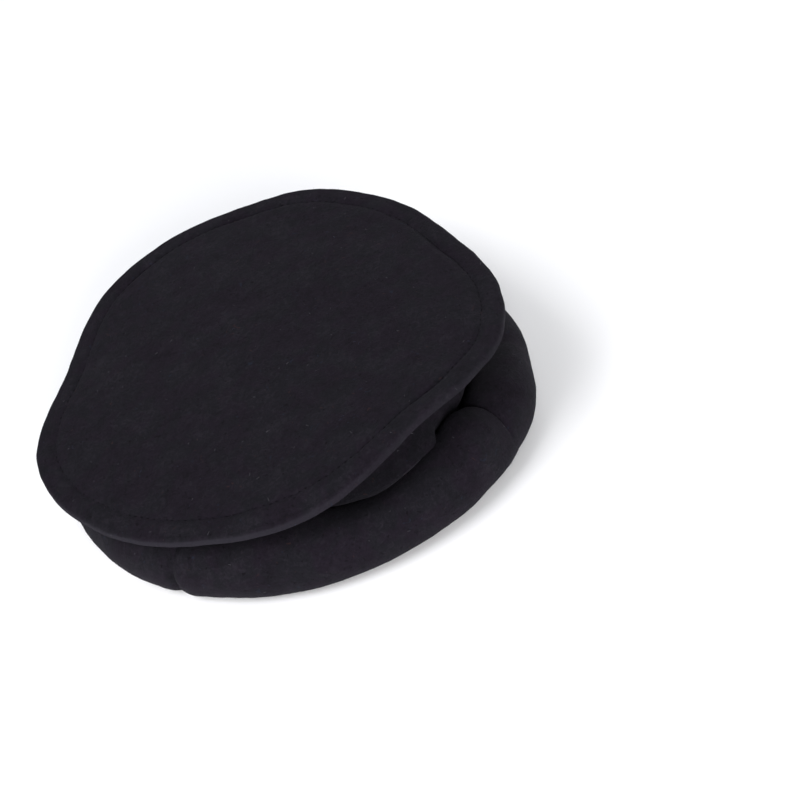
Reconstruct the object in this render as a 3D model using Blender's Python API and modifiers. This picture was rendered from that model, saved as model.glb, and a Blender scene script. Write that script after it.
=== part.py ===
"""Pakol: a soft round cap of fulled wool. A flat crown is sewn to a side tube along a stitched
flange, and the tube is rolled up on the outside into a thick brim. A thin cotton lining hangs
inside. The cap lies on its brim at z = 0, crown up, with the head's axis on Z. Metres, +Z up."""

import math
from collections import namedtuple

import bmesh
import bpy
from mathutils import Matrix

# Cloth and seams
CLOTH = 0.0026
LINING_CLOTH = 0.0008
FIT_GAP = 0.0004

# Crown
CROWN_RADIUS = 0.130
CROWN_HEIGHT = 0.0685
CROWN_TILT = math.radians(7.3)
CROWN_RISES_TOWARD = math.radians(32)
CROWN_SWELL = 0.003
FLANGE_WIDTH = 0.012
DROOP_STARTS = 0.012
DROOP_ENDS = 0.003
STITCH_DENT = 0.0008
STITCH_DENT_WIDTH = 0.004
# Shares of the crown's radius where its plain rings lie inside the stitches
CROWN_RINGS = (0.68, 0.36, 0)

# Neck. Shares of its inward run and its drop by which its curve leaves the flange, and the
# share of its drop by which it rises straight from the head opening
NECK_LEAVE_RUN = 0.80
NECK_LEAVE_DROP = 0.10
NECK_RISE = 0.60

# Brim roll
ROLL_RADIUS = 0.1325
ROLL_WIDTH = 0.041
ROLL_HEIGHT = 0.0355
ROLL_AIR = 0.0012
ROLL_PITCH = CLOTH + ROLL_AIR
ROLL_TURNS = 2.5
REST_PRESS = 0.003

# Lining. It leaves the neck at a share of the neck's length from the stitches
HEM_HEIGHT = 0.025
LINING_LEAVES_NECK = 0.55
LINING_REACH = 0.080
LINING_SAG = 0.007

# Detail of the lofted cloth
STATIONS = 56
WALL_STEPS = 6
TURN_STEPS = 12
LINING_STEPS = 3

# Crests and dips of the crown's edge. Reach is a share of the crown's radius, and rise is a
# share of its height. Droop is how far the flange's own width hangs, in metres
EdgeRow = namedtuple("EdgeRow", "azimuth reach rise droop")
CROWN_EDGE = (
    EdgeRow(13, 0.907, -0.055, 0),
    EdgeRow(44, 0.949, -0.005, 0),
    EdgeRow(68, 1.022, 0.022, 0),
    EdgeRow(88, 1.058, 0.020, 0),
    EdgeRow(108, 1.098, 0.020, 0),
    EdgeRow(128, 1.090, 0.008, 0),
    EdgeRow(153, 1.019, -0.025, 0),
    EdgeRow(180, 1.096, -0.014, 0),
    EdgeRow(215, 1.051, -0.050, 0.0008),
    EdgeRow(240, 1.016, -0.012, 0.0022),
    EdgeRow(262, 0.984, 0.034, 0.0046),
    EdgeRow(282, 0.943, 0.078, 0.0040),
    EdgeRow(296, 0.923, 0.088, 0.0012),
    EdgeRow(311, 0.964, 0.060, 0),
    EdgeRow(328, 1.000, 0.000, 0),
    EdgeRow(345, 0.975, -0.030, 0),
)

# Crests and dips of the roll. Reach is a share of its outer radius, width and height are shares
# of its section
RollRow = namedtuple("RollRow", "azimuth reach width height")
ROLL_SECTIONS = (
    RollRow(20, 1.000, 1.00, 1.00),
    RollRow(80, 1.000, 1.02, 1.00),
    RollRow(140, 1.000, 0.98, 0.99),
    RollRow(210, 1.012, 1.02, 1.00),
    RollRow(275, 0.992, 1.00, 0.98),
    RollRow(306, 1.012, 1.02, 1.05),
    RollRow(326, 1.024, 1.03, 1.07),
    RollRow(348, 1.000, 0.98, 1.00),
)

# Seams and tucks that pinch the roll. Spread is in degrees, depth is a share of its section
Tuck = namedtuple("Tuck", "azimuth spread depth")
ROLL_TUCKS = (
    Tuck(66, 6, 0.05),
    Tuck(112, 6, 0.05),
    Tuck(174, 7, 0.07),
    Tuck(230, 6, 0.04),
    Tuck(320, 7, 0.06),
)


def eased(rows, column, azimuth):
    """One column at an azimuth in degrees, on a smooth closed curve through all the rows."""
    after = next((i for i, row in enumerate(rows) if row.azimuth > azimuth), 0)
    near = [rows[(after + step) % len(rows)] for step in (-2, -1, 0, 1)]
    gaps = [(second.azimuth - first.azimuth) % 360 for first, second in zip(near, near[1:])]
    values = [getattr(row, column) for row in near]
    slope_low = (values[2] - values[0]) / (gaps[0] + gaps[1]) * gaps[1]
    slope_high = (values[3] - values[1]) / (gaps[1] + gaps[2]) * gaps[1]
    share = (azimuth - near[1].azimuth) % 360 / gaps[1]
    ease = share * share * (3 - 2 * share)
    bend = slope_low * share * (1 - share) ** 2 - slope_high * share * share * (1 - share)
    return values[1] * (1 - ease) + values[2] * ease + bend


def pinch(azimuth):
    """Share of the roll's section that the tucks take away at an azimuth in degrees."""
    total = 0
    for tuck in ROLL_TUCKS:
        away = (azimuth - tuck.azimuth + 180) % 360 - 180
        total += tuck.depth * math.exp(-((away / tuck.spread) ** 2))
    return total


def crown_edge_radius(azimuth):
    return CROWN_RADIUS * eased(CROWN_EDGE, "reach", azimuth)


def crown_height_at(azimuth, radius):
    """Height of the middle of the crown's cloth over the floor."""
    edge = crown_edge_radius(azimuth)
    share = radius / edge
    tilted = radius * math.tan(CROWN_TILT) * math.cos(math.radians(azimuth) - CROWN_RISES_TOWARD)
    wave = eased(CROWN_EDGE, "rise", azimuth) * CROWN_HEIGHT * share**3
    swell = CROWN_SWELL * (1 - share * share)
    bent = min(1, max(0, (DROOP_STARTS - edge + radius) / (DROOP_STARTS - DROOP_ENDS)))
    droop = max(0, eased(CROWN_EDGE, "droop", azimuth)) * bent * bent
    return CROWN_HEIGHT - CROWN_SWELL - CLOTH / 2 + tilted + wave + swell - droop


def crown_rings(azimuth):
    """Radius and height of the crown's rings, from its edge to its middle."""
    edge = crown_edge_radius(azimuth)
    stitches = edge - FLANGE_WIDTH
    rings = [(edge, 0), (stitches + STITCH_DENT_WIDTH, 0), (stitches, STITCH_DENT)]
    rings += [(stitches - STITCH_DENT_WIDTH, 0)] + [(share * edge, 0) for share in CROWN_RINGS]
    return [(radius, crown_height_at(azimuth, radius) - dent) for radius, dent in rings]


def bezier(start, start_pull, end_pull, end, share):
    """Point of a cubic curve in the radius and height plane."""
    rest = 1 - share
    weights = (rest**3, 3 * rest * rest * share, 3 * rest * share * share, share**3)
    points = (start, start_pull, end_pull, end)
    return tuple(sum(w * p[i] for w, p in zip(weights, points)) for i in range(2))


def roll_spiral(azimuth):
    """Middle radius, middle height, half width and half height where the roll's spiral starts."""
    kept = 1 - pinch(azimuth)
    width = ROLL_WIDTH * eased(ROLL_SECTIONS, "width", azimuth) * kept
    height = ROLL_HEIGHT * eased(ROLL_SECTIONS, "height", azimuth) * kept
    outside = ROLL_RADIUS * eased(ROLL_SECTIONS, "reach", azimuth) - ROLL_WIDTH * (1 - kept) / 2
    half_width = (width - CLOTH + ROLL_PITCH / 2) / 2
    half_height = (height + REST_PRESS - CLOTH + ROLL_PITCH) / 2
    radius = outside - CLOTH / 2 - half_width + ROLL_PITCH / 2
    level = (height - REST_PRESS) / 2 + ROLL_PITCH / 4
    return radius, level, half_width, half_height


def roll_point(azimuth, turn):
    """Point of the rolled cloth. Turn 0 is at the head opening, and the cloth runs down, out,
    up and back in, one pitch tighter each time round. Each turn is pressed flat at its foot."""
    radius, level, half_width, half_height = roll_spiral(azimuth)
    angle = math.pi + 2 * math.pi * turn
    radius += (half_width - ROLL_PITCH * turn) * math.cos(angle)
    level += (half_height - ROLL_PITCH * turn) * math.sin(angle)
    foot = CLOTH / 2 + ROLL_PITCH * round(turn - 0.25)
    return radius, max(level, foot)


def wall_point(azimuth, share):
    """Point of the neck between the crown's stitches and the head opening."""
    start_radius = crown_edge_radius(azimuth) - FLANGE_WIDTH
    start = (start_radius, flange_height(azimuth, start_radius, STITCH_DENT))
    end = roll_point(azimuth, 0)
    drop = start[1] - end[1]
    inward = start[0] - end[0]
    start_pull = (start[0] - NECK_LEAVE_RUN * inward, start[1] - NECK_LEAVE_DROP * drop)
    end_pull = (end[0], end[1] + NECK_RISE * drop)
    return bezier(start, start_pull, end_pull, end, share)


def flange_height(azimuth, radius, dent):
    """Height of the side's own layer of the flange, which lies under the crown's."""
    return crown_height_at(azimuth, radius) - CLOTH - FIT_GAP - dent


def side_section(azimuth):
    """The side cloth from the crown's edge to its free end inside the roll."""
    edge = crown_edge_radius(azimuth)
    section = [(edge, flange_height(azimuth, edge, 0))]
    section += [wall_point(azimuth, step / WALL_STEPS) for step in range(WALL_STEPS)]
    turns = round(TURN_STEPS * ROLL_TURNS)
    section += [roll_point(azimuth, step / TURN_STEPS) for step in range(turns + 1)]
    return section


def lofted(name, section_at, thickness, material):
    """A cloth sheet lofted through a section at each station round the head, then thickened."""
    mesh = bpy.data.meshes.new(name)
    grid = bmesh.new()
    columns = []
    for station in range(STATIONS):
        azimuth = 360 * station / STATIONS
        turn = math.radians(azimuth)
        column = []
        for radius, height in section_at(azimuth):
            place = (radius * math.cos(turn), radius * math.sin(turn), height)
            column.append(grid.verts.new(place))
        columns.append(column)
    for here, there in zip(columns, columns[1:] + columns[:1]):
        for low in range(len(here) - 1):
            grid.faces.new((here[low], there[low], there[low + 1], here[low + 1]))
    bmesh.ops.remove_doubles(grid, verts=grid.verts, dist=1e-6)
    bmesh.ops.recalc_face_normals(grid, faces=grid.faces)
    grid.to_mesh(mesh)
    grid.free()
    mesh.shade_smooth()
    mesh.materials.append(material)
    sheet = bpy.data.objects.new(name, mesh)
    shell = sheet.modifiers.new("cloth thickness", "SOLIDIFY")
    shell.thickness = thickness
    shell.offset = 0
    shell.use_even_offset = True
    return sheet


def inside_wall(azimuth, share):
    """Point of the lining where it lies against the neck's inner face."""
    clear = (CLOTH + LINING_CLOTH) / 2 + FIT_GAP
    radius, height = wall_point(azimuth, share)
    ahead = wall_point(azimuth, share - 0.02)
    run, climb = ahead[0] - radius, ahead[1] - height
    length = math.hypot(run, climb)
    return radius - clear * climb / length, height + clear * run / length


def under_crown(azimuth, radius):
    """Point of the lining where it hangs under the crown."""
    clear = (CLOTH + LINING_CLOTH) / 2 + FIT_GAP
    sag = LINING_SAG * (1 - 0.5 * (radius / LINING_REACH) ** 2)
    return radius, crown_height_at(azimuth, radius) - clear - sag


def lining_section(azimuth):
    """The lining from its hem, up the neck's inner face and across under the crown."""
    steps = [step / LINING_STEPS for step in range(LINING_STEPS)]
    hem, leave = 1.0, LINING_LEAVES_NECK
    while wall_point(azimuth, hem)[1] < HEM_HEIGHT:
        hem -= 0.01
    section = [inside_wall(azimuth, hem + (leave - hem) * step) for step in steps]
    low, before = inside_wall(azimuth, leave), inside_wall(azimuth, leave + 0.1)
    far = under_crown(azimuth, LINING_REACH)
    low_pull = (2 * low[0] - before[0], 2 * low[1] - before[1])
    far_pull = (0.5 * (low[0] + far[0]), far[1])
    section += [bezier(low, low_pull, far_pull, far, step) for step in steps]
    return section + [under_crown(azimuth, LINING_REACH * (1 - step)) for step in steps + [1]]


def cloth_material(name, colour, roughness):
    """A Principled material in one plain colour."""
    material = bpy.data.materials.new(name)
    material.use_nodes = True
    shader = material.node_tree.nodes["Principled BSDF"]
    shader.inputs["Base Color"].default_value = (*colour, 1)
    shader.inputs["Roughness"].default_value = roughness
    shader.inputs["Metallic"].default_value = 0
    return material


def centre_on_floor(pieces):
    """Moves the pieces together so that the middle of their footprint is at the origin."""
    places = [vertex.co for piece in pieces for vertex in piece.data.vertices]
    middle = [(min(p[i] for p in places) + max(p[i] for p in places)) / 2 for i in (0, 1)]
    for piece in pieces:
        piece.data.transform(Matrix.Translation((-middle[0], -middle[1], 0)))


def main():
    for old in list(bpy.data.objects):
        bpy.data.objects.remove(old)
    wool = cloth_material("black_wool", (0.015, 0.014, 0.019), 0.95)
    cotton = cloth_material("blue_cotton", (0.130, 0.200, 0.300), 0.70)
    pakol = bpy.data.collections.new("pakol")
    bpy.context.scene.collection.children.link(pakol)
    pieces = [
        lofted("crown_top", crown_rings, CLOTH, wool),
        lofted("rolled_side", side_section, CLOTH, wool),
        lofted("lining", lining_section, LINING_CLOTH, cotton),
    ]
    centre_on_floor(pieces)
    for piece in pieces:
        pakol.objects.link(piece)


main()
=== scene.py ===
"""A pakol, dressed in its real cloth: a soft round cap of fulled black wool whose side is rolled
up on the outside into a thick brim, with a thin blue cotton lining. Metres, +Z up."""

import bisect
import math
import random
from collections import namedtuple

import bmesh
import bpy
from mathutils import Matrix, Vector, noise
from mathutils.bvhtree import BVHTree


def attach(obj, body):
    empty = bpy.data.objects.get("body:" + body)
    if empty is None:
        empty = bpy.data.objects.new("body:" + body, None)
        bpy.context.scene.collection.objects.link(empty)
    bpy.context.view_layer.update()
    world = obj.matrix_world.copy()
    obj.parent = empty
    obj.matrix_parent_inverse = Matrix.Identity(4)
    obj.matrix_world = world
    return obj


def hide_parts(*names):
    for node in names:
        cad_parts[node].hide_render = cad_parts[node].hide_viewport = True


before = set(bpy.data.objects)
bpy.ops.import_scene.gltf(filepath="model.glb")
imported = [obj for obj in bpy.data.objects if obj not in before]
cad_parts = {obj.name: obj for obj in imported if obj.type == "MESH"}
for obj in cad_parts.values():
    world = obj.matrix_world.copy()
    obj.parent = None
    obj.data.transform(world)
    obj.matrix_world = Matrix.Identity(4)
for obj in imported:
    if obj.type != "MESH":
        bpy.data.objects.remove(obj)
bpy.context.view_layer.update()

# The camera looks down on the hat from the front, about 94 cm away. The photographed hat leans to
# its right, so the camera is rolled instead and the hat's own floor stays level.
CAMERA_PLACE = Vector((0.0058, -0.7505, 0.5732))
CAMERA_AIM = Vector((0.0582, -0.0555, 0.0400))
CAMERA_ROLL = math.radians(-17.8)
CAMERA_LENS_MM = 74.7
CAMERA_SENSOR_MM = 36
CAMERA_NEAREST = 0.01

camera = bpy.data.objects.new("camera", bpy.data.cameras.new("camera"))
camera.data.lens = CAMERA_LENS_MM
camera.data.sensor_width = CAMERA_SENSOR_MM
camera.data.clip_start = CAMERA_NEAREST
aim = (CAMERA_AIM - CAMERA_PLACE).to_track_quat("-Z", "Y").to_matrix().to_4x4()
camera.matrix_world = Matrix.Translation(CAMERA_PLACE) @ aim @ Matrix.Rotation(CAMERA_ROLL, 4, "Z")
bpy.context.collection.objects.link(camera)
bpy.context.scene.camera = camera


# A white studio floor under a high soft box at the left and a low one in front. The front light
# is what brightens the crown's edge and the roll in the photograph. A weak one behind keeps the
# hat's back from going black.
FLOOR_SIZE = 8
FLOOR_DROP = 0.0002
FLOOR_COLOUR = (0.92, 0.92, 0.93)
FLOOR_ROUGHNESS = 0.9
SKY_COLOUR = (0.95, 0.97, 1.0)
SKY_STRENGTH = 0.50
SoftBox = namedtuple("SoftBox", "name place size power colour")
SOFT_BOXES = (
    SoftBox("left_box", (-1.49, -0.76, 2.03), 1.4, 50, (0.98, 0.98, 1.0)),
    SoftBox("front_box", (0.24, -2.47, 0.80), 1.2, 78, (1.0, 0.99, 0.98)),
    SoftBox("back_box", (0.90, 2.50, 0.60), 1.2, 18, (0.98, 0.99, 1.0)),
)
LIGHT_AIM = Vector((0, 0, 0.04))

bpy.context.scene.view_settings.view_transform = "Standard"
world = bpy.data.worlds.new("studio")
world.use_nodes = True
world.node_tree.nodes["Background"].inputs["Color"].default_value = (*SKY_COLOUR, 1)
world.node_tree.nodes["Background"].inputs["Strength"].default_value = SKY_STRENGTH
bpy.context.scene.world = world

for box in SOFT_BOXES:
    lamp = bpy.data.lights.new(box.name, "AREA")
    lamp.size = box.size
    lamp.energy = box.power
    lamp.color = box.colour
    light = bpy.data.objects.new(box.name, lamp)
    light.location = box.place
    light.rotation_euler = (LIGHT_AIM - Vector(box.place)).to_track_quat("-Z", "Y").to_euler()
    bpy.context.collection.objects.link(light)

floor_mesh = bpy.data.meshes.new("floor")
floor_grid = bmesh.new()
bmesh.ops.create_grid(floor_grid, x_segments=1, y_segments=1, size=FLOOR_SIZE / 2)
floor_grid.to_mesh(floor_mesh)
floor_grid.free()
floor = bpy.data.objects.new("floor", floor_mesh)
floor.location.z = -FLOOR_DROP
floor_paint = bpy.data.materials.new("floor_paint")
floor_paint.use_nodes = True
floor_shader = floor_paint.node_tree.nodes["Principled BSDF"]
floor_shader.inputs["Base Color"].default_value = (*FLOOR_COLOUR, 1)
floor_shader.inputs["Roughness"].default_value = FLOOR_ROUGHNESS
floor_mesh.materials.append(floor_paint)
bpy.context.collection.objects.link(floor)


# The cloth of the hat is hand-woven sheep's wool, fulled until the weave has closed into a dense
# felt. It is dyed near black, with a short nap, and stray fibres of other wools show in it.
WOOL_PLUM = (0.0075, 0.0056, 0.0090)
WOOL_SLATE = (0.0062, 0.0059, 0.0079)
WOOL_DEEP = (0.0041, 0.0034, 0.0049)
# Colour of the painted shade in the nap's small pits
PIT_SHADE = (0.0020, 0.0016, 0.0024)
WOOL_PALE = (0.0123, 0.0106, 0.0144)
# Colour of the pale cut edge: partly wear, partly painted highlight
WORN_AND_HIGHLIT_EDGE = (0.0152, 0.0137, 0.0185)
RUSSET_FLECK = (0.018, 0.010, 0.011)
BLUE_FLECK = (0.009, 0.011, 0.018)
ASH_FLECK = (0.021, 0.019, 0.023)
FLECK_SOFTNESS = 0.06
FLECK_STRENGTH = 0.8


class Value:
    """An output socket in a shader expression. Adding or multiplying it adds a Math node."""

    def __init__(self, finish, socket):
        self.finish = finish
        self.socket = socket

    def math(self, operation, first, second):
        """A Math node on two numbers or sockets."""
        return self.finish.node("ShaderNodeMath", {"operation": operation}, {0: first, 1: second})

    def __add__(self, other):
        return self.math("ADD", self, other)

    def __radd__(self, other):
        return self.math("ADD", other, self)

    def __mul__(self, other):
        return self.math("MULTIPLY", self, other)

    def __rmul__(self, other):
        return self.math("MULTIPLY", other, self)


class Finish:
    """A material in the making, with a Principled shader."""

    def __init__(self, name):
        self.material = bpy.data.materials.new(name)
        self.material.use_nodes = True
        self.tree = self.material.node_tree
        self.shader = self.tree.nodes["Principled BSDF"]

    def feed(self, socket, value):
        """Links a value to a socket, or sets the socket to a constant."""
        if isinstance(value, Value):
            self.tree.links.new(value.socket, socket)
        elif isinstance(value, tuple) and len(value) == 3 and socket.type == "RGBA":
            socket.default_value = (*value, 1)
        else:
            socket.default_value = value

    def node(self, kind, settings, inputs, output=0):
        """Adds a node with its settings and its inputs, and gives back one of its outputs."""
        made = self.tree.nodes.new(kind)
        for name, setting in settings.items():
            setattr(made, name, setting)
        for key, value in inputs.items():
            self.feed(made.inputs[key], value)
        return Value(self, made.outputs[output])

    def place(self):
        """Where each point of the piece is, in metres."""
        return self.node("ShaderNodeTexCoord", {}, {}, output="Object")

    def blend(self, first, second, share):
        """A colour between two others. A Mix node keeps its colours in sockets 6 and 7."""
        settings = {"data_type": "RGBA", "clamp_factor": True}
        return self.node("ShaderNodeMix", settings, {0: share, 6: first, 7: second}, output=2)

    def grain(self, place, per_metre, detail=3.0, roughness=0.55, warp=0.0):
        """Cloudy noise from 0 to 1."""
        inputs = {"Vector": place, "Scale": per_metre, "Detail": detail, "Roughness": roughness}
        return self.node("ShaderNodeTexNoise", {}, {**inputs, "Distortion": warp})

    def spread(self, value, low, high):
        """A value eased from 0 at low to 1 at high."""
        settings = {"interpolation_type": "SMOOTHSTEP"}
        return self.node("ShaderNodeMapRange", settings, {0: value, 1: low, 2: high})

    def bumped(self, height, strength, distance):
        """A normal that follows a height, which stands for a distance in metres."""
        inputs = {"Strength": strength, "Distance": distance, "Height": height}
        return self.node("ShaderNodeBump", {}, inputs)

    def set(self, **inputs):
        """Sets the shader's own inputs, by name."""
        for name, value in inputs.items():
            self.feed(self.shader.inputs[name.replace("_", " ")], value)


def fulled_wool(name):
    """Near-black fulled wool: a mottled, matted nap with a few fibres of other colours."""
    wool = Finish(name)
    place = wool.place()
    clouds = wool.grain(place, per_metre=60, detail=4)
    tufts = wool.grain(place, per_metre=330, detail=5, roughness=0.65, warp=1.2)
    hairs = wool.grain(place, per_metre=1500, detail=3, roughness=0.7, warp=2.5)
    shade = clouds * 0.25 + tufts * 0.40 + hairs * 0.35
    tint = wool.grain(place, per_metre=62, warp=0.7)
    tinted = wool.blend(WOOL_PLUM, WOOL_SLATE, wool.spread(tint, low=0.40, high=0.60))
    colour = wool.blend(WOOL_DEEP, tinted, wool.spread(shade, low=0.38, high=0.50))
    colour = wool.blend(colour, WOOL_PALE, wool.spread(shade, low=0.50, high=0.62))
    # Small dark specks: painted shade standing for the shadows in tiny pits of the nap
    pit_shade = wool.grain(place, per_metre=520, detail=1, roughness=0.5, warp=0.6)
    colour = wool.blend(colour, PIT_SHADE, wool.spread(pit_shade, low=0.68, high=0.74) * 0.75)
    # The cut edge is painted paler, partly as wear and partly as a painted highlight
    wear_and_highlight = wool.node("ShaderNodeAttribute", {"attribute_name": "wear_and_highlight"}, {}, output="Fac")
    bare_and_lit = wear_and_highlight * (wool.spread(hairs, low=0.30, high=0.62) * 0.45 + 0.55)
    colour = wool.blend(colour, WORN_AND_HIGHLIT_EDGE, bare_and_lit)
    for fleck, per_metre, warp, rarity in (
        (RUSSET_FLECK, 170, 1.5, 0.70),
        (BLUE_FLECK, 140, 1.8, 0.69),
        (ASH_FLECK, 290, 2.2, 0.735),
    ):
        flecks = wool.grain(place, per_metre, detail=2, roughness=0.6, warp=warp)
        shown = wool.spread(flecks, rarity, rarity + FLECK_SOFTNESS) * FLECK_STRENGTH
        colour = wool.blend(colour, fleck, shown)
    felted = tufts * 0.6 + hairs * 0.25 + wool.grain(place, per_metre=140, detail=3) * 0.5
    relief = wool.bumped(felted, strength=0.75, distance=0.0009)
    wool.set(Base_Color=colour, Normal=relief, Roughness=0.97, Specular_IOR_Level=0.06)
    wool.set(Sheen_Weight=0.02, Sheen_Roughness=0.5, Sheen_Tint=(0.80, 0.77, 0.95))
    return wool.material


black_wool = fulled_wool("black_wool")


# The crown is one disc of wool, a little wavy because it is handled and stored rolled up. It is
# sewn to the side 12 mm in from its edge, and the stitches pull a shallow ring into it.
CLOTH = 0.0026
CLOTH_ROUNDING = 0.0009
ROUNDED_OVER = math.radians(60)
HEAD_AXIS = Vector((0.0058, -0.0045, 0))
CROWN_RADIUS = 0.130
CROWN_HEIGHT = 0.0685
CROWN_TILT = math.radians(7.3)
CROWN_RISES_TOWARD = math.radians(32)
CROWN_SWELL = 0.003
CROWN_STATIONS = 300
CROWN_INNER_RINGS = 48
FLANGE_WIDTH = 0.012

# Unevenness, by how high and how long its waves are. The seed sets one kind apart from another
Waves = namedtuple("Waves", "height length seed")
CROWN_SWAY = Waves(0.0011, 0.050, 1)
CROWN_RIPPLE = Waves(0.00035, 0.016, 2)
CROWN_NAP = Waves(0.00014, 0.0055, 3)
EDGE_FRAY = Waves(0.0005, 0.009, 7)

# The ring that the stitches pull in. Its depth varies, and is greatest in the crease at the right
STITCH_DENT = 0.0015
STITCH_DENT_WIDTH = 0.0019
STITCH_PULL = 0.75
STITCH_PULL_VARIES = Waves(0.6, 0.030, 11)
CREASE_AT = 13
CREASE_SPREAD = 14
CREASE_DEEPER = 1.3

# The pale band on the cut edge, by depth below the crown's top, partly wear and partly painted
# highlight. It is palest at the front left, where the painted highlight stands in for the lamps'
# light
EDGE_WEAR_AND_HIGHLIGHT = 0.0040
WEAR_AND_HIGHLIGHT_STARTS = 0.0007
WEAR_AND_HIGHLIGHT_FULL = 0.0018
WEAR_AND_HIGHLIGHT_DEEPEST = 3 * CLOTH
LEAST_WEAR_AND_HIGHLIGHT = 0.25
HIGHLIGHT_MOST_AT = 238
HIGHLIGHT_SPREAD = 34

# The rim, from its lower edge up round its bend, and then rings at insets across the flange
RIM_BEND = 0.00135
RIM_DROP = 0.0036
RIM_DROP_STEPS = 3
RIM_BEND_STEPS = 6
DROOP_STARTS = 0.012
DROOP_ENDS = 0.003
FLANGE_INSETS = (
    0.0045, 0.006, 0.0075, 0.009, 0.0103, 0.0112, FLANGE_WIDTH, 0.0128, 0.0137, 0.015, 0.017,
)

# The crown's wavy edge. Reach and rise are shares of the crown's radius and height, and droop is
# how far in metres the edge hangs below that
EdgeRow = namedtuple("EdgeRow", "azimuth reach rise droop")
CROWN_EDGE = (
    EdgeRow(13, 0.907, -0.055, 0),
    EdgeRow(44, 0.949, -0.005, 0),
    EdgeRow(68, 1.022, 0.022, 0),
    EdgeRow(88, 1.058, 0.020, 0),
    EdgeRow(108, 1.098, 0.020, 0),
    EdgeRow(128, 1.090, 0.008, 0),
    EdgeRow(153, 1.019, -0.025, 0),
    EdgeRow(180, 1.096, -0.014, 0),
    EdgeRow(215, 1.033, -0.048, 0.0008),
    EdgeRow(240, 0.997, -0.012, 0.0017),
    EdgeRow(262, 0.984, 0.034, 0.0042),
    EdgeRow(282, 0.943, 0.078, 0.0024),
    EdgeRow(296, 0.923, 0.088, 0.0006),
    EdgeRow(311, 0.964, 0.060, 0),
    EdgeRow(328, 1.000, 0.000, 0),
    EdgeRow(345, 0.975, -0.030, 0),
)


def eased(rows, column, azimuth):
    """One column at an azimuth in degrees, on a smooth closed curve through all the rows."""
    after = next((i for i, row in enumerate(rows) if row.azimuth > azimuth), 0)
    near = [rows[(after + step) % len(rows)] for step in (-2, -1, 0, 1)]
    gaps = [(second.azimuth - first.azimuth) % 360 for first, second in zip(near, near[1:])]
    values = [getattr(row, column) for row in near]
    slope_low = (values[2] - values[0]) / (gaps[0] + gaps[1]) * gaps[1]
    slope_high = (values[3] - values[1]) / (gaps[1] + gaps[2]) * gaps[1]
    share = (azimuth - near[1].azimuth) % 360 / gaps[1]
    ease = share * share * (3 - 2 * share)
    bend = slope_low * share * (1 - share) ** 2 - slope_high * share * share * (1 - share)
    return values[1] * (1 - ease) + values[2] * ease + bend


def drift(place, waves):
    """Smooth noise at a place in metres, up to its waves' height either way."""
    elsewhere = Vector((waves.seed, 2.7 * waves.seed, 5.1 * waves.seed))
    return waves.height * noise.noise(Vector(place) / waves.length + elsewhere)


def around(azimuth, radius, height=0.0):
    """A place at an azimuth in degrees round the head's axis."""
    turn = math.radians(azimuth)
    return Vector((radius * math.cos(turn), radius * math.sin(turn), height))


def polar(place):
    """Azimuth in degrees, radius and height of a place, round the head's axis."""
    flat = place - HEAD_AXIS
    return math.degrees(math.atan2(flat.y, flat.x)) % 360, math.hypot(flat.x, flat.y), flat.z


def apart(azimuth, other):
    """Signed angle from one azimuth to another, in degrees."""
    return (azimuth - other + 180) % 360 - 180


def bell(away, spread):
    """1 at no distance, and almost nothing from twice the spread."""
    return math.exp(-((away / spread) ** 2))


def crown_edge_radius(azimuth):
    """Radius of the crown's cut edge, a little frayed."""
    fray = drift(around(azimuth, CROWN_RADIUS), EDGE_FRAY)
    return CROWN_RADIUS * eased(CROWN_EDGE, "reach", azimuth) + fray


def stitch_dent(azimuth, inset):
    """How far the stitches pull the cloth down, at a distance in from the crown's edge."""
    pull = STITCH_PULL + drift(around(azimuth, CROWN_RADIUS), STITCH_PULL_VARIES)
    pull += CREASE_DEEPER * bell(apart(azimuth, CREASE_AT), CREASE_SPREAD)
    return STITCH_DENT * pull * bell(inset - FLANGE_WIDTH, STITCH_DENT_WIDTH)


def crown_height_at(azimuth, radius):
    """Height of the middle of the crown's cloth over the floor."""
    edge = crown_edge_radius(azimuth)
    share = radius / edge
    place = around(azimuth, radius)
    tilted = radius * math.tan(CROWN_TILT) * math.cos(math.radians(azimuth) - CROWN_RISES_TOWARD)
    wave = eased(CROWN_EDGE, "rise", azimuth) * CROWN_HEIGHT * share**3
    swell = CROWN_SWELL * (1 - share * share)
    sway = drift(place, CROWN_SWAY) + drift(place, CROWN_RIPPLE)
    bent = min(1, max(0, (DROOP_STARTS - edge + radius) / (DROOP_STARTS - DROOP_ENDS)))
    droop = max(0, eased(CROWN_EDGE, "droop", azimuth)) * bent * bent
    level = CROWN_HEIGHT - CROWN_SWELL - CLOTH / 2 + drift(place, CROWN_NAP)
    return level + tilted + wave + swell + sway - droop - stitch_dent(azimuth, edge - radius)


def crown_section(azimuth):
    """Radius and height of the crown's rings. Its edge is turned down over the side's edge."""
    edge = crown_edge_radius(azimuth)
    out, bend = edge - CLOTH / 2, RIM_BEND
    level = crown_height_at(azimuth, out - bend)
    rim = []
    for step in range(RIM_DROP_STEPS):
        rim.append((out, level - RIM_DROP + (RIM_DROP - bend) * step / RIM_DROP_STEPS))
    for step in range(RIM_BEND_STEPS + 1):
        turn = math.radians(90 * step / RIM_BEND_STEPS)
        rim.append((out - bend + bend * math.cos(turn), level - bend + bend * math.sin(turn)))
    inner = edge - FLANGE_INSETS[-1]
    rings = [edge - inset for inset in FLANGE_INSETS]
    rings += [inner * (1 - ring / CROWN_INNER_RINGS) for ring in range(1, CROWN_INNER_RINGS + 1)]
    return rim + [(radius, crown_height_at(azimuth, radius)) for radius in rings]


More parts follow.
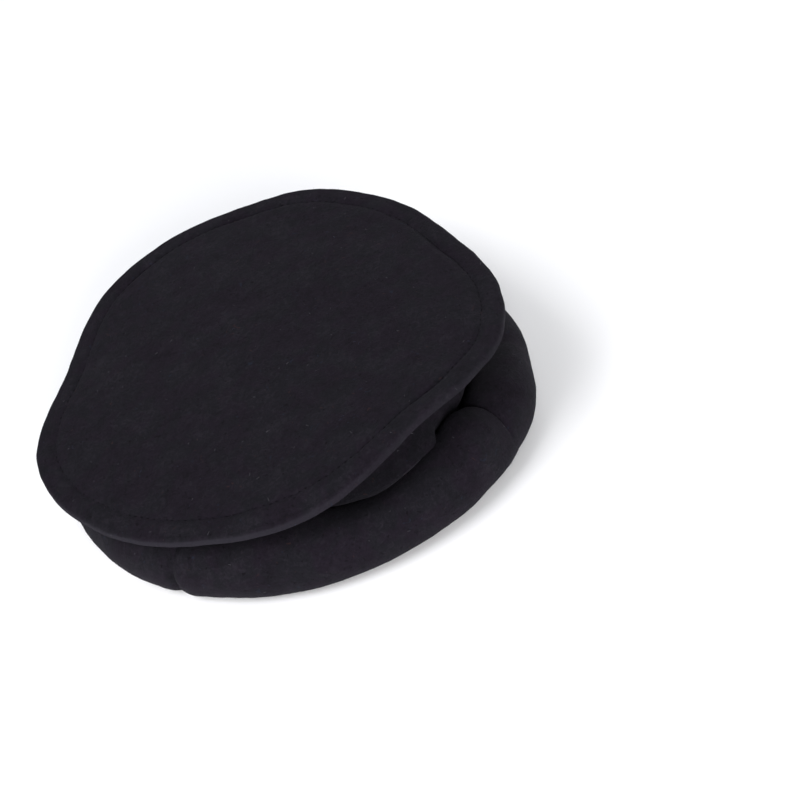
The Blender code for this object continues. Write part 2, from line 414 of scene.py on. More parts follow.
def lofted(name, section_at, azimuths):
    """An open sheet lofted through a section at each azimuth round the head's axis."""
    grid = bmesh.new()
    columns = []
    for azimuth in azimuths:
        section = section_at(azimuth)
        columns.append([grid.verts.new(HEAD_AXIS + around(azimuth, *point)) for point in section])
    for here, there in zip(columns, columns[1:] + columns[:1]):
        for low in range(len(here) - 1):
            grid.faces.new((here[low], there[low], there[low + 1], here[low + 1]))
    bmesh.ops.remove_doubles(grid, verts=grid.verts, dist=1e-6)
    bmesh.ops.recalc_face_normals(grid, faces=grid.faces)
    return made_of(grid, name)


def stations(count):
    """Azimuths at an even spacing all the way round."""
    return [360 * station / count for station in range(count)]


def made_of(grid, name):
    """A smooth piece with the mesh that a grid holds."""
    mesh = bpy.data.meshes.new(name)
    grid.to_mesh(mesh)
    grid.free()
    mesh.shade_smooth()
    piece = bpy.data.objects.new(name, mesh)
    bpy.context.collection.objects.link(piece)
    return piece


def thickened(sheet, thickness, rounding, segments):
    """Gives a sheet its thickness and rounded edges, and applies both."""
    shell = sheet.modifiers.new("cloth thickness", "SOLIDIFY")
    shell.thickness = thickness
    shell.offset = 0
    edge = sheet.modifiers.new("soft edge", "BEVEL")
    edge.width = rounding
    edge.segments = segments
    edge.limit_method = "ANGLE"
    edge.angle_limit = ROUNDED_OVER
    applied(sheet)


def applied(piece):
    """Applies a piece's modifiers to its mesh."""
    shaped = piece.evaluated_get(bpy.context.evaluated_depsgraph_get())
    mesh = bpy.data.meshes.new_from_object(shaped)
    piece.modifiers.clear()
    piece.data = mesh
    mesh.shade_smooth()


def ramp(value, low, high):
    """A value eased from 0 at low to 1 at high."""
    share = min(1, max(0, (value - low) / (high - low)))
    return share * share * (3 - 2 * share)


def marked_wear_and_highlight(piece):
    """Marks the flange's paler cut edge for the wool's colour: partly wear, and partly a painted
    highlight that is strongest at the front left.
    """
    wear_and_highlight = piece.data.attributes.new("wear_and_highlight", "FLOAT", "POINT")
    for vertex, mark in zip(piece.data.vertices, wear_and_highlight.data):
        azimuth, radius, height = polar(vertex.co)
        edge = crown_edge_radius(azimuth)
        below = crown_height_at(azimuth, edge) + CLOTH / 2 - height
        if edge - radius < EDGE_WEAR_AND_HIGHLIGHT and below < WEAR_AND_HIGHLIGHT_DEEPEST:
            # The azimuth bell paints the highlight strongest at the front left, where the lamps
            # light the edge
            bared_and_lit = LEAST_WEAR_AND_HIGHLIGHT + (1 - LEAST_WEAR_AND_HIGHLIGHT) * bell(apart(azimuth, HIGHLIGHT_MOST_AT), HIGHLIGHT_SPREAD)
            mark.value = bared_and_lit * ramp(below, WEAR_AND_HIGHLIGHT_STARTS, WEAR_AND_HIGHLIGHT_FULL)


crown = lofted("crown_cloth", crown_section, stations(CROWN_STATIONS))
thickened(crown, CLOTH, CLOTH_ROUNDING, segments=3)
marked_wear_and_highlight(crown)
crown.data.materials.append(black_wool)
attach(crown, "root")
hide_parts("crown_top")


# The side is one tube of the same wool. Its top is the under layer of the stitched flange, then
# it runs in and down as the neck, and the rest is wound outward and up into the brim's roll.
FLANGE_GAP = 0.00005
LIP_GAP = 0.0004
NECK_LEAVE_RUN = 0.80
NECK_LEAVE_DROP = 0.10
NECK_RISE = 0.60
NECK_FOLD_TAPER = 0.8
NECK_RESTS = (0.2, 0.95)
ROLL_RADIUS = 0.1325
ROLL_WIDTH = 0.041
ROLL_HEIGHT = 0.0355
ROLL_PITCH = 0.0038
ROLL_TURNS = 2.5
FOOT_TURN = 0.25
REST_PRESS = 0.003
ROLL_SWAY = Waves(0.0011, 0.045, 6)
ROLL_LUMPS = Waves(0.0006, 0.021, 5)
ROLL_NAP = Waves(0.00016, 0.0058, 4)
SLACK_CLEAR = 0.0004
SIDE_STATIONS = 360
SEAM_TURN = (221, 233)
CREASE_TURN = (306, 325)
FINER_STEP = 0.25
NECK_STEPS = 22
OUTER_TURN_STEPS = 40
INNER_TURN_STEPS = 14

# How the roll's section varies. Reach, width and height are shares of the roll's own
RollRow = namedtuple("RollRow", "azimuth reach width height")
ROLL_SECTIONS = (
    RollRow(20, 1.000, 1.00, 1.00),
    RollRow(80, 1.000, 1.02, 1.00),
    RollRow(140, 1.000, 0.98, 0.99),
    RollRow(210, 1.012, 1.02, 1.00),
    RollRow(275, 0.992, 1.00, 0.98),
    RollRow(306, 1.012, 1.02, 1.05),
    RollRow(326, 1.024, 1.03, 1.07),
    RollRow(348, 1.000, 0.98, 1.00),
)

# Broad tucks that pinch the whole roll. Spread is in degrees, depth is a share of its section
Tuck = namedtuple("Tuck", "azimuth spread depth")
ROLL_TUCKS = (
    Tuck(66, 6, 0.05),
    Tuck(112, 6, 0.05),
    Tuck(174, 7, 0.07),
    Tuck(230, 6, 0.04),
    Tuck(320, 7, 0.06),
)

# Narrow grooves in the cloth. Azimuth is at the outer face, and lean is its shift over one turn.
# Depth is in metres, and low and high are the turns of the roll between which the groove lies
GROOVE_FADE = 0.15
Groove = namedtuple("Groove", "azimuth lean spread depth low high")
ROLL_GROOVES = (
    Groove(226.8, 5, 1.1, 0.0024, -0.1, 0.9),
    Groove(223.0, 5, 2.4, -0.0006, 0.1, 0.9),
    Groove(230.8, 5, 2.6, -0.0007, 0.1, 0.9),
    Groove(174.0, 8, 1.8, 0.0024, -0.075, 1.075),
    Groove(112.0, -4, 1.2, 0.0018, -0.075, 1.075),
    Groove(66.0, 3, 1.3, 0.0020, -0.075, 1.075),
    Groove(318.0, 8, 1.0, 0.0026, 0.48, 1.00),
    Groove(322.5, 8, 2.2, -0.0008, 0.48, 0.95),
    Groove(310.5, 8, 6.0, -0.0048, 0.52, 0.94),
    Groove(276.0, 14, 11.0, 0.0030, 0.62, 1.08),
    Groove(304.5, 2, 3.2, 0.0011, 0.46, 0.84),
    Groove(290.0, 14, 3.4, 0.0007, 0.50, 0.95),
    Groove(352.0, -18, 2.6, 0.0010, 0.45, 0.90),
    Groove(24.0, 20, 2.4, 0.0012, 0.45, 0.90),
    Groove(142.0, -14, 2.8, 0.0010, 0.40, 0.90),
    Groove(202.0, 18, 2.6, 0.0010, 0.40, 0.85),
)

# Upright folds where the neck is gathered into the head opening. Negative depth stands out
NeckFold = namedtuple("NeckFold", "azimuth lean spread depth")
NECK_FOLDS = (
    NeckFold(8, -4, 3.2, 0.0016),
    NeckFold(24, 4, 4.0, 0.0022),
    NeckFold(38, 3, 3.0, -0.0014),
    NeckFold(52, -5, 3.2, 0.0018),
    NeckFold(84, 6, 4.2, 0.0024),
    NeckFold(102, -3, 3.4, -0.0016),
    NeckFold(121, -4, 3.4, 0.0020),
    NeckFold(150, 5, 4.6, 0.0022),
    NeckFold(188, -6, 3.6, 0.0018),
    NeckFold(222, 4, 3.8, 0.0020),
    NeckFold(256, -4, 3.2, 0.0016),
    NeckFold(276, 4, 3.4, 0.0018),
    NeckFold(316, 2, 4.0, 0.0016),
    NeckFold(341, -5, 3.6, 0.0022),
)

# Slack in the neck. Low down it bags out all round and rests on the roll, more in some places,
# where it rises from starts to full and is gone from fades to ends
SLACK_SPREAD = 0.10
SLACK_LIES = 0.75
SLACK_EVERYWHERE = 0.0085
Slack = namedtuple("Slack", "starts full fades ends depth")
NECK_SLACK = (
    Slack(255, 288, 301, 309, 0.0085),
    Slack(301, 310, 326, 342, -0.0030),
    Slack(30, 42, 50, 64, 0.0050),
    Slack(112, 128, 136, 150, 0.0045),
    Slack(186, 200, 212, 226, 0.0040),
)


def pinch(azimuth):
    """Share of the roll's section that the tucks take away at an azimuth in degrees."""
    return sum(t.depth * bell(apart(azimuth, t.azimuth), t.spread) for t in ROLL_TUCKS)


def groove_depth(azimuth, turn):
    """How far the grooves sink into the roll, at a turn of its spiral."""
    total = 0
    for groove in ROLL_GROOVES:
        for lap in (turn % 1 - 1, turn % 1, turn % 1 + 1):
            if groove.low < lap < groove.high:
                line = groove.azimuth + groove.lean * (lap - 0.5)
                begun = ramp(lap, groove.low, groove.low + GROOVE_FADE)
                ended = ramp(lap, groove.high - GROOVE_FADE, groove.high)
                share = bell(apart(azimuth, line), groove.spread)
                total += groove.depth * share * begun * (1 - ended)
    return total


def roll_spiral(azimuth):
    """Middle radius, middle height, half width and half height where the roll's spiral starts."""
    kept = 1 - pinch(azimuth)
    width = ROLL_WIDTH * eased(ROLL_SECTIONS, "width", azimuth) * kept
    height = ROLL_HEIGHT * eased(ROLL_SECTIONS, "height", azimuth) * kept
    outside = ROLL_RADIUS * eased(ROLL_SECTIONS, "reach", azimuth) - ROLL_WIDTH * (1 - kept) / 2
    half_width = (width - CLOTH + ROLL_PITCH / 2) / 2
    half_height = (height + REST_PRESS - CLOTH + ROLL_PITCH) / 2
    radius = outside - CLOTH / 2 - half_width + ROLL_PITCH / 2
    level = (height - REST_PRESS) / 2 + ROLL_PITCH / 4
    return radius, level, half_width, half_height


def roll_point(azimuth, turn):
    """Point of the rolled cloth. Turn 0 is at the head opening, and the cloth runs down, out,
    up and back in, one pitch tighter each time round. Each turn is pressed flat at its foot."""
    radius, level, half_width, half_height = roll_spiral(azimuth)
    angle = math.pi + 2 * math.pi * turn
    spot = around(azimuth, radius + half_width * math.cos(angle), half_height * math.sin(angle))
    lumps = drift(spot, ROLL_SWAY) + drift(spot, ROLL_LUMPS) + drift(spot, ROLL_NAP)
    inset = ROLL_PITCH * turn + groove_depth(azimuth, turn) + lumps
    radius += (half_width - inset) * math.cos(angle)
    level += (half_height - inset) * math.sin(angle)
    foot = CLOTH / 2 + ROLL_PITCH * round(turn - FOOT_TURN)
    return radius, max(level, foot)


def neck_fold(azimuth, share):
    """How far the gathers push the neck in, at a share of its way down."""
    total = 0
    for fold in NECK_FOLDS:
        line = fold.azimuth + fold.lean * (share - 0.5)
        total += fold.depth * bell(apart(azimuth, line), fold.spread)
    return total * math.sin(math.pi * share) ** NECK_FOLD_TAPER


def neck_slack(azimuth, share):
    """How far the neck bags out, at a share of its way down."""
    depth = SLACK_EVERYWHERE
    for bag in NECK_SLACK:
        risen = ramp(azimuth, bag.starts, bag.full)
        depth += bag.depth * risen * ramp(-azimuth, -bag.ends, -bag.fades)
    return depth * bell(share - SLACK_LIES, SLACK_SPREAD)


def resting_on_roll(azimuth, radius, height):
    """The nearest place for the neck that is clear of the roll's outer turn."""
    middle, level, half_width, half_height = roll_spiral(azimuth)
    angle = math.atan2((height - level) / half_height, (radius - middle) / half_width)
    turn = (0.5 + angle / (2 * math.pi)) % 1
    tighter = ROLL_PITCH * turn + groove_depth(azimuth, turn) - CLOTH - SLACK_CLEAR
    run = (radius - middle) / (half_width - tighter)
    climb = (height - level) / (half_height - tighter)
    reach = math.hypot(run, climb)
    if climb < 0 or reach >= 1:
        return radius, height
    radius = middle + run / reach * (half_width - tighter)
    return radius, level + climb / reach * (half_height - tighter)


def bezier(pulls, share):
    """Radius and height at a share of the way along the curve that four points pull."""
    rest = 1 - share
    weights = (rest**3, 3 * rest * rest * share, 3 * rest * share * share, share**3)
    return tuple(sum(w * p[i] for w, p in zip(weights, pulls)) for i in (0, 1))


def neck_curve(azimuth, share):
    """Point of the neck between the crown's stitches and the head opening, pulled taut."""
    start_radius = crown_edge_radius(azimuth) - FLANGE_WIDTH
    start = (start_radius, flange_height(azimuth, start_radius))
    end = roll_point(azimuth, 0)
    drop = start[1] - end[1]
    inward = start[0] - end[0]
    pulls = (
        start,
        (start[0] - NECK_LEAVE_RUN * inward, start[1] - NECK_LEAVE_DROP * drop),
        (end[0], end[1] + NECK_RISE * drop),
        end,
    )
    return bezier(pulls, share)


def neck_point(azimuth, share):
    """Point of the neck with its slack and its gathers."""
    radius, height = neck_curve(azimuth, share)
    radius += neck_slack(azimuth, share) - neck_fold(azimuth, share)
    radius += drift(around(azimuth, radius, height), ROLL_LUMPS) * math.sin(math.pi * share)
    if NECK_RESTS[0] < share < NECK_RESTS[1]:
        return resting_on_roll(azimuth, radius, height)
    return radius, height


def flange_height(azimuth, radius):
    """Height of the side's own layer of the flange, which lies under the crown's."""
    return crown_height_at(azimuth, radius) - CLOTH - FLANGE_GAP


def side_section(azimuth):
    """The side cloth from the crown's edge to its free end inside the roll."""
    edge = crown_edge_radius(azimuth)
    insets = [CLOTH + LIP_GAP] + [inset for inset in FLANGE_INSETS if inset < FLANGE_WIDTH]
    section = [(edge - inset, flange_height(azimuth, edge - inset)) for inset in insets]
    section += [neck_point(azimuth, step / NECK_STEPS) for step in range(NECK_STEPS)]
    section += [roll_point(azimuth, step / OUTER_TURN_STEPS) for step in range(OUTER_TURN_STEPS)]
    inner = round((ROLL_TURNS - 1) * INNER_TURN_STEPS)
    section += [roll_point(azimuth, 1 + step / INNER_TURN_STEPS) for step in range(inner + 1)]
    return section


def finer(azimuths, between, step):
    """The same azimuths with more of them added between two."""
    low, high = between
    added = [low + step * number for number in range(round((high - low) / step))]
    return sorted(set(azimuths) | set(added))


side_azimuths = finer(stations(SIDE_STATIONS), SEAM_TURN, FINER_STEP)
side_azimuths = finer(side_azimuths, CREASE_TURN, FINER_STEP)
side = lofted("side_cloth", side_section, side_azimuths)
thickened(side, CLOTH, CLOTH_ROUNDING, segments=2)
marked_wear_and_highlight(side)
side.data.materials.append(black_wool)
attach(side, "root")
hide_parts("rolled_side")


# The seam round the crown is sewn by hand in black thread. Its stitches sink into the soft wool,
# and show as small dark dashes in the ring that they pull in.
STITCH_THREAD = 0.0006
STITCH_LENGTH = 0.0032
STITCH_COUNT = 190
STITCH_SHARES = (-1, -0.6, 0, 0.6, 1)
STITCH_STRAY_DEGREES = 0.25
STITCH_UNEVEN = (0.85, 1.1)
STITCH_WANDER = 0.0004
STITCH_SLANT = 0.0005
STITCH_PROUD = 0.05
STITCH_PLUNGE = 1.2
THREAD_GRAIN = 900
THREAD_COLOUR = (0.0014, 0.0013, 0.0018)
RANDOM_SEED = 4
rng = random.Random(RANDOM_SEED)


def strand(grid, path, ups, thickness, sides=5):
    """Adds a closed thread, thinner at its ends, along a path with its up at each point."""
    rings = []
    for step, (place, up) in enumerate(zip(path, ups)):
        ahead = path[min(step + 1, len(path) - 1)] - path[max(step - 1, 0)]
        across = ahead.cross(up).normalized()
        over = across.cross(ahead).normalized()
        size = thickness / 2 if 0 < step < len(path) - 1 else thickness / 5
        ring = []
        for corner in range(sides):
            angle = 2 * math.pi * corner / sides
            spoke = math.cos(angle) * across + math.sin(angle) * over
            ring.append(grid.verts.new(place + size * spoke))
        rings.append(ring)
    for here, there in zip(rings, rings[1:]):
        for low in range(sides):
            high = (low + 1) % sides
            grid.faces.new((here[low], here[high], there[high], there[low]))
    grid.faces.new(reversed(rings[0]))
    grid.faces.new(rings[-1])


def crown_stitches():
    """The seam's stitches, on top of the flange and under it."""
    grid = bmesh.new()
    for number in range(STITCH_COUNT):
        stray = rng.uniform(-STITCH_STRAY_DEGREES, STITCH_STRAY_DEGREES)
        middle = 360 * number / STITCH_COUNT + stray
        half = math.degrees(STITCH_LENGTH / 2 / CROWN_RADIUS) * rng.uniform(*STITCH_UNEVEN)
        inset = FLANGE_WIDTH + rng.uniform(-STITCH_WANDER, STITCH_WANDER)
        slant = rng.uniform(-STITCH_SLANT, STITCH_SLANT)
        for face in (1, -1):
            path = []
            for share in STITCH_SHARES:
                azimuth = (middle + half * share + (0 if face > 0 else half)) % 360
                radius = crown_edge_radius(azimuth) - inset + slant * share
                surface = crown_height_at(azimuth, radius) + CLOTH / 2
                if face < 0:
                    surface = flange_height(azimuth, radius) - CLOTH / 2
                lift = STITCH_THREAD * (STITCH_PROUD - STITCH_PLUNGE * share * share)
                path.append(HEAD_AXIS + around(azimuth, radius, surface + face * lift))
            strand(grid, path, [Vector((0, 0, 1))] * len(path), STITCH_THREAD)
    return made_of(grid, "crown_stitches")


thread = Finish("black_thread")
thread_shade = thread.grain(thread.place(), THREAD_GRAIN, detail=2)
thread_shade = thread.spread(thread_shade, low=0.4, high=0.7)
thread.set(
    Base_Color=thread.blend(THREAD_COLOUR, WOOL_DEEP, thread_shade),
    Roughness=0.9,
    Specular_IOR_Level=0.05,
)
stitches = crown_stitches()
stitches.data.materials.append(thread.material)
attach(stitches, "root")


# Inside hangs a thin slate-blue cotton lining. Its edge is turned under and sewn to the neck, which
# puckers it, and it is tacked under the crown. It is cut full, so that it hangs in soft folds.
LINING_CLOTH = 0.0008
LINING_ROUNDING = 0.0003
LINING_GAP = 0.0006
LINING_COLOUR = (0.100, 0.158, 0.235)
LINING_FADED = (0.150, 0.220, 0.310)
LINING_DEEP = (0.070, 0.112, 0.182)

# The hem, turned under and puckered by its stitches
HEM_RADIUS = 0.09
HEM_HEIGHT = 0.025
HEM_WIDTH = 0.006
HEM_PROUD = 0.0013
HEM_PUCKERS = 40
HEM_PUCKER_DEPTH = 0.00035
HEM_PUCKERS_VARY = Waves(1, 0.012, 31)
HEM_RIPPLE = 0.0007
HEM_HIDDEN_STEPS = 3
HEM_EDGE_TURNS = (0.25, 0.5, 0.75)
HEM_FACE_STEPS = 4
HEM_HELD_ABOVE = 0.003

# The way up from the hem, by shares of the neck, and how the middle hangs under the crown
NECK_SLOPE_STEP = 0.03
SLACK_SPANNED = (0.76, 0.86)
LINING_LEAVES_NECK = 0.55
LINING_AIM_STEP = 0.1
LINING_REACH = 0.080
LINING_SAG = 0.007
LINING_SAG_LOST = 0.5
LINING_STATIONS = 180
LINING_WALL_STEPS = 12
LINING_BEND_STEPS = 12
LINING_TOP_STEPS = 20
HALVINGS = 16

# The tacks, and the cloth that a short simulation lets fall between them
LINING_TACKS = 9
TACK_SIZE = 0.006
LINING_FRAMES = 26
LINING_SIM_QUALITY = 6
LINING_WEIGHT = 0.12
LINING_STRETCH = 12
LINING_SHEAR = 4
LINING_BENDING = 0.08
LINING_GRAVITY = 0.35
LINING_FULLNESS = 0.055
LINING_SHIFT_MOST = 0.0065
LINING_SHIFT_LEAST = 1e-6
LINING_SHIFT_TRIES = (1, 0.75, 0.5, 0.25)
LINING_CLEAR = 0.0008


def share_at(azimuth, height):
    """Share of the way down the neck, in its lower half, at which it reaches a height."""
    low, high = 0.5, 1.0
    for _ in range(HALVINGS):
        middle = (low + high) / 2
        if neck_curve(azimuth, middle)[1] > height:
            low = middle
        else:
            high = middle
    return low


def lining_wall(azimuth, share, proud=0.0):
    """Point of the lining against the neck. Above the hem it spans the hollow of the slack."""
    radius, height = neck_curve(azimuth, share)
    ahead = neck_curve(azimuth, share - NECK_SLOPE_STEP)
    run, climb = ahead[0] - radius, ahead[1] - height
    length = math.hypot(run, climb)
    slack = neck_point(azimuth, share)[0] - radius
    lean = slack if slack < 0 else slack * ramp(share, *SLACK_SPANNED)
    clear = (CLOTH + LINING_CLOTH) / 2 + LINING_GAP + proud
    return radius + lean - clear * climb / length, height + clear * run / length


def under_crown(azimuth, radius):
    """Point of the lining where it hangs under the crown."""
    clear = (CLOTH + LINING_CLOTH) / 2 + LINING_GAP
    sag = LINING_SAG * (1 - LINING_SAG_LOST * (radius / LINING_REACH) ** 2)
    return radius, crown_height_at(azimuth, radius) - clear - sag


def pucker(azimuth):
    """How the hem's stitches gather it: about 1 on a pucker's ridge and -1 between two."""
    evenly = math.cos(math.radians(azimuth) * HEM_PUCKERS)
    return evenly + drift(around(azimuth, HEM_RADIUS), HEM_PUCKERS_VARY)


def hem_proud(azimuth):
    """How far the hem's face stands in from where a single layer of the lining would lie."""
    return HEM_PROUD + HEM_PUCKER_DEPTH * (1 + pucker(azimuth))


def hem_section(azimuth, hem, top, proud):
    """The turned-under hem: down its hidden side, round its edge, and up its face."""
    section = []
    for step in range(HEM_HIDDEN_STEPS + 1):
        section.append(lining_wall(azimuth, top + (hem - top) * step / HEM_HIDDEN_STEPS))
    for turn in HEM_EDGE_TURNS:
        bulge = 0.5 * HEM_PROUD * math.sin(math.pi * turn) * (hem - top) / HEM_WIDTH
        section.append(lining_wall(azimuth, hem + bulge, turn * proud))
    for step in range(HEM_FACE_STEPS):
        section.append(lining_wall(azimuth, hem + (top - hem) * step / HEM_FACE_STEPS, proud))
    return section


def lining_section(azimuth):
    """The lining from its hem, up inside the neck and across under the crown."""
    proud = hem_proud(azimuth)
    hem = share_at(azimuth, HEM_HEIGHT + HEM_RIPPLE * pucker(azimuth))
    top = share_at(azimuth, HEM_HEIGHT + HEM_WIDTH)
    section = hem_section(azimuth, hem, top, proud)
    leave = LINING_LEAVES_NECK
    for step in range(LINING_WALL_STEPS):
        share = step / LINING_WALL_STEPS
        section.append(lining_wall(azimuth, top + (leave - top) * share, proud * (1 - share) ** 3))
    low, before = lining_wall(azimuth, leave), lining_wall(azimuth, leave + LINING_AIM_STEP)
    far = under_crown(azimuth, LINING_REACH)
    onward = (2 * low[0] - before[0], 2 * low[1] - before[1])
    pulls = (low, onward, (0.5 * (low[0] + far[0]), far[1]), far)
    section += [bezier(pulls, step / LINING_BEND_STEPS) for step in range(LINING_BEND_STEPS)]
    for step in range(LINING_TOP_STEPS + 1):
        section.append(under_crown(azimuth, LINING_REACH * (1 - step / LINING_TOP_STEPS)))
    return section


def tacked(place):
    """Whether a place on the lining is held: at its hem, or by a tack under the crown."""
    azimuth, radius, height = polar(place)
    if height < HEM_HEIGHT + HEM_WIDTH + HEM_HELD_ABOVE or radius < TACK_SIZE:
        return True
    near = round(azimuth * LINING_TACKS / 360) * 360 / LINING_TACKS
    away = math.hypot(radius - LINING_REACH, math.radians(apart(azimuth, near)) * radius)
    return away < TACK_SIZE


def hung(sheet, clear_of):
    """Lets a sheet that is cut full fall into folds between its stitches, clear of other pieces."""
    first = [vertex.co.copy() for vertex in sheet.data.vertices]
    pins = sheet.vertex_groups.new(name="pins")
    pins.add([number for number, place in enumerate(first) if tacked(place)], 1, "REPLACE")
    cloth = sheet.modifiers.new("cloth", "CLOTH")
    cloth.settings.vertex_group_mass = "pins"
    cloth.settings.quality = LINING_SIM_QUALITY
    cloth.settings.mass = LINING_WEIGHT
    cloth.settings.tension_stiffness = cloth.settings.compression_stiffness = LINING_STRETCH
    cloth.settings.shear_stiffness = LINING_SHEAR
    cloth.settings.bending_stiffness = LINING_BENDING
    cloth.settings.shrink_min = -LINING_FULLNESS
    cloth.settings.effector_weights.gravity = LINING_GRAVITY
    cloth.collision_settings.use_collision = False
    for frame_number in range(1, LINING_FRAMES + 1):
        bpy.context.scene.frame_set(frame_number)
    fallen = sheet.evaluated_get(bpy.context.evaluated_depsgraph_get()).data
    last = [vertex.co.copy() for vertex in fallen.vertices]
    sheet.modifiers.clear()
    sheet.vertex_groups.clear()
    bpy.context.scene.frame_set(1)
    walls = [BVHTree.FromObject(piece, bpy.context.evaluated_depsgraph_get()) for piece in clear_of]
    for vertex, start, end in zip(sheet.data.vertices, first, last):
        vertex.co = short_of(walls, start, end)


def short_of(walls, start, end):
    """The end of a move, cut shorter until it is clear of the walls."""
    move = end - start
    if move.length < LINING_SHIFT_LEAST:
        return start
    move *= LINING_SHIFT_MOST * math.tanh(move.length / LINING_SHIFT_MOST) / move.length
    for share in LINING_SHIFT_TRIES:
        place = start + move * share
        way = place - start
        if all(
            wall.ray_cast(start, way.normalized(), way.length + LINING_CLEAR)[0] is None
            and wall.find_nearest(place, LINING_CLEAR)[0] is None
            for wall in walls
        ):
            return place
    return start


def slate_cotton(name):
    """Thin polished cotton, slate blue and crumpled, unevenly faded."""
    cotton = Finish(name)
    place = cotton.place()
    cloudy = cotton.grain(place, per_metre=45, detail=4)
    weave = cotton.grain(place, per_metre=2600, detail=1, roughness=0.5)
    colour = cotton.blend(LINING_DEEP, LINING_COLOUR, cotton.spread(cloudy, low=0.25, high=0.50))
    colour = cotton.blend(colour, LINING_FADED, cotton.spread(cloudy, low=0.48, high=0.75) * 0.7)
    crumple = cotton.grain(place, per_metre=160, detail=5, roughness=0.6, warp=0.8)
    relief = cotton.bumped(crumple * 0.8 + weave * 0.12, strength=0.6, distance=0.0012)
    roughness = 0.42 + crumple * 0.18
    cotton.set(Base_Color=colour, Normal=relief, Roughness=roughness, Specular_IOR_Level=0.45)
    cotton.set(Sheen_Weight=0.15, Sheen_Roughness=0.4)
    return cotton.material


lining = lofted("lining_cloth", lining_section, stations(LINING_STATIONS))
hung(lining, (crown, side))
smooth = lining.modifiers.new("smooth folds", "SUBSURF")
smooth.levels = smooth.render_levels = 1
thickened(lining, LINING_CLOTH, LINING_ROUNDING, segments=2)
lining.data.materials.append(slate_cotton("slate_cotton"))
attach(lining, "root")
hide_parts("lining")


# The hem is held to the neck by small running stitches in dark blue cotton. They go through the
# turned-under fold and catch only the wool's inner face, so that none shows outside.
HEM_STITCHES = 92
HEM_STITCH_STRAY = 0.12
HEM_STITCH_RISE = 0.6
HEM_STITCH_PROUD = 0.3
HEM_STITCH_PLUNGE = 1.4
HEM_STITCH_LENGTH = 0.0030
HEM_THREAD = 0.00055
HEM_THREAD_COLOUR = (0.020, 0.030, 0.060)


def hem_stitches():
    """The running stitches on the hem's face."""
    grid = bmesh.new()
    for number in range(HEM_STITCHES):
        stray = rng.uniform(-HEM_STITCH_STRAY, HEM_STITCH_STRAY)
        middle = 360 * (number + stray) / HEM_STITCHES
        wander = rng.uniform(-STITCH_WANDER, STITCH_WANDER)
        height = HEM_HEIGHT + HEM_STITCH_RISE * HEM_WIDTH + wander
        path, ups = [], []
        for share in STITCH_SHARES:
            azimuth = (middle + math.degrees(share * HEM_STITCH_LENGTH / 2 / HEM_RADIUS)) % 360
            proud = hem_proud(azimuth) + LINING_CLOTH / 2
            lift = HEM_THREAD * (HEM_STITCH_PROUD - HEM_STITCH_PLUNGE * share * share)
            radius, level = lining_wall(azimuth, share_at(azimuth, height), proud + lift)
            path.append(HEAD_AXIS + around(azimuth, radius, level))
            ups.append(-around(azimuth, 1))
        strand(grid, path, ups, HEM_THREAD)
    return made_of(grid, "hem_stitches")


hem_thread = Finish("blue_thread")
hem_thread_shade = hem_thread.grain(hem_thread.place(), THREAD_GRAIN, detail=2)
hem_thread_shade = hem_thread.spread(hem_thread_shade, low=0.4, high=0.7)
hem_thread.set(
    Base_Color=hem_thread.blend(HEM_THREAD_COLOUR, LINING_DEEP, hem_thread_shade),
    Roughness=0.6,
    Specular_IOR_Level=0.3,
)
hem_seam = hem_stitches()
hem_seam.data.materials.append(hem_thread.material)
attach(hem_seam, "root")


# Stray fibres of the wool stand up from its nap all over, where it has been rubbed and brushed.
# A little paler lint from other cloth clings to it.
NAP_FIBRES = 6400
NAP_LENGTH = (0.0008, 0.0021)
NAP_THICKNESS = 0.00006
NAP_RISE = (0.20, 0.80)
NAP_COLOUR = (0.011, 0.0095, 0.0135)
LINT_FIBRES = 330
LINT_LENGTH = (0.0009, 0.0026)
LINT_THICKNESS = 0.00015
LINT_RISE = (0.05, 0.22)
LINT_PALE = (0.080, 0.077, 0.088)
LINT_RUSSET = (0.062, 0.036, 0.036)
LINT_BLUE = (0.050, 0.060, 0.105)
FIBRE_SHARES = (0, 0.33, 0.67, 1)
FIBRE_CURL = 0.6
FIBRE_SWEEP = 0.5
OPEN_AIR = 0.014
OPEN_AIR_STARTS = 0.0004
LOWEST_FIBRE = 0.003


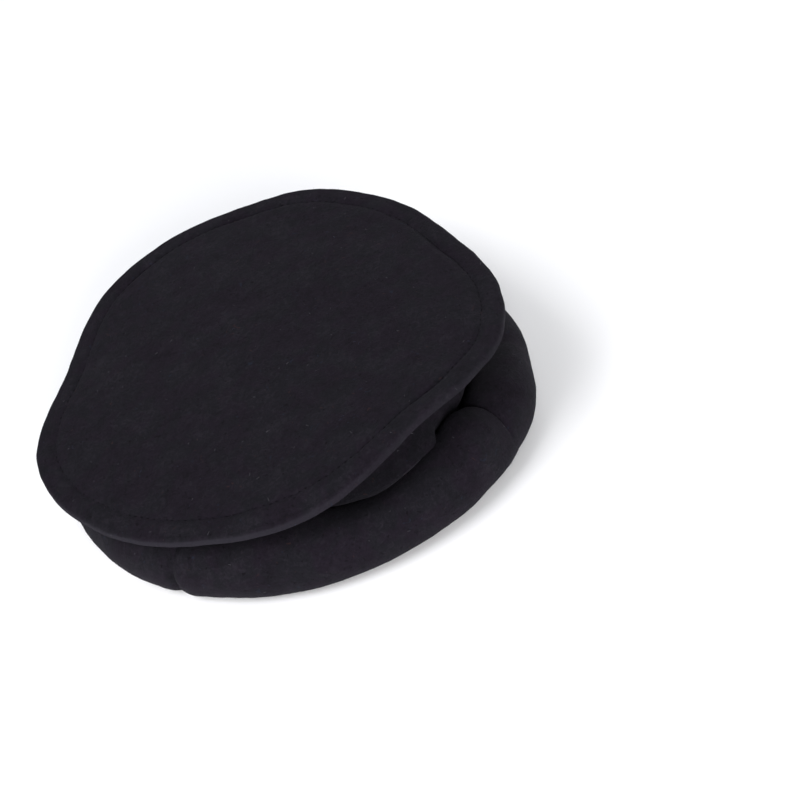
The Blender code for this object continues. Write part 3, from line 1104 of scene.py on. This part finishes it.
def scattered(pieces, count):
    """Places and outward directions spread evenly over pieces, where the air above is open."""
    corners, reaches, total = [], [], 0
    for piece in pieces:
        mesh = piece.data
        mesh.calc_loop_triangles()
        for triangle in mesh.loop_triangles:
            corners.append([mesh.vertices[number].co for number in triangle.vertices])
            total += triangle.area
            reaches.append(total)
    walls = [BVHTree.FromObject(piece, bpy.context.evaluated_depsgraph_get()) for piece in pieces]
    spots = []
    while len(spots) < count:
        first, second, third = corners[bisect.bisect(reaches, rng.uniform(0, total))]
        along, across = sorted((rng.random(), rng.random()))
        place = along * first + (across - along) * second + (1 - across) * third
        up = (second - first).cross(third - first).normalized()
        no_area = up.length < 0.5
        if place.z < LOWEST_FIBRE or no_area:
            continue
        start = place + OPEN_AIR_STARTS * up
        if all(wall.ray_cast(start, up, OPEN_AIR)[0] is None for wall in walls):
            spots.append((place, up))
    return spots


def fibres(name, count, lengths, rises, thickness):
    """Loose curved fibres that start in the cloth and lie over it."""
    grid = bmesh.new()
    for place, up in scattered((crown, side), count):
        along = up.orthogonal().normalized()
        along.rotate(Matrix.Rotation(rng.uniform(0, 2 * math.pi), 3, up))
        across = up.cross(along) * rng.uniform(-FIBRE_SWEEP, FIBRE_SWEEP)
        length, rise = rng.uniform(*lengths), rng.uniform(*rises)
        path = []
        for share in FIBRE_SHARES:
            lift = rise * (share - FIBRE_CURL * share * share) * length - thickness * (1 - share)
            path.append(place + length * share * (along + share * across) + lift * up)
        strand(grid, path, [up] * len(path), thickness, sides=3)
    return made_of(grid, name)


def fibre_wool(name, base):
    """One colour of wool for loose fibres, with some russet and some blue ones among them."""
    loose = Finish(name)
    russet = loose.grain(loose.place(), per_metre=90)
    blue = loose.grain(loose.place(), per_metre=75, warp=1.0)
    colour = loose.blend(base, LINT_RUSSET, loose.spread(russet, low=0.60, high=0.66))
    colour = loose.blend(colour, LINT_BLUE, loose.spread(blue, low=0.62, high=0.68))
    loose.set(Base_Color=colour, Roughness=0.8, Specular_IOR_Level=0.1)
    return loose.material


nap = fibres("nap_fibres", NAP_FIBRES, NAP_LENGTH, NAP_RISE, NAP_THICKNESS)
nap.data.materials.append(fibre_wool("nap_wool", NAP_COLOUR))
lint = fibres("lint", LINT_FIBRES, LINT_LENGTH, LINT_RISE, LINT_THICKNESS)
lint.data.materials.append(fibre_wool("lint_wool", LINT_PALE))
for loose_piece in (nap, lint):
    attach(loose_piece, "root")
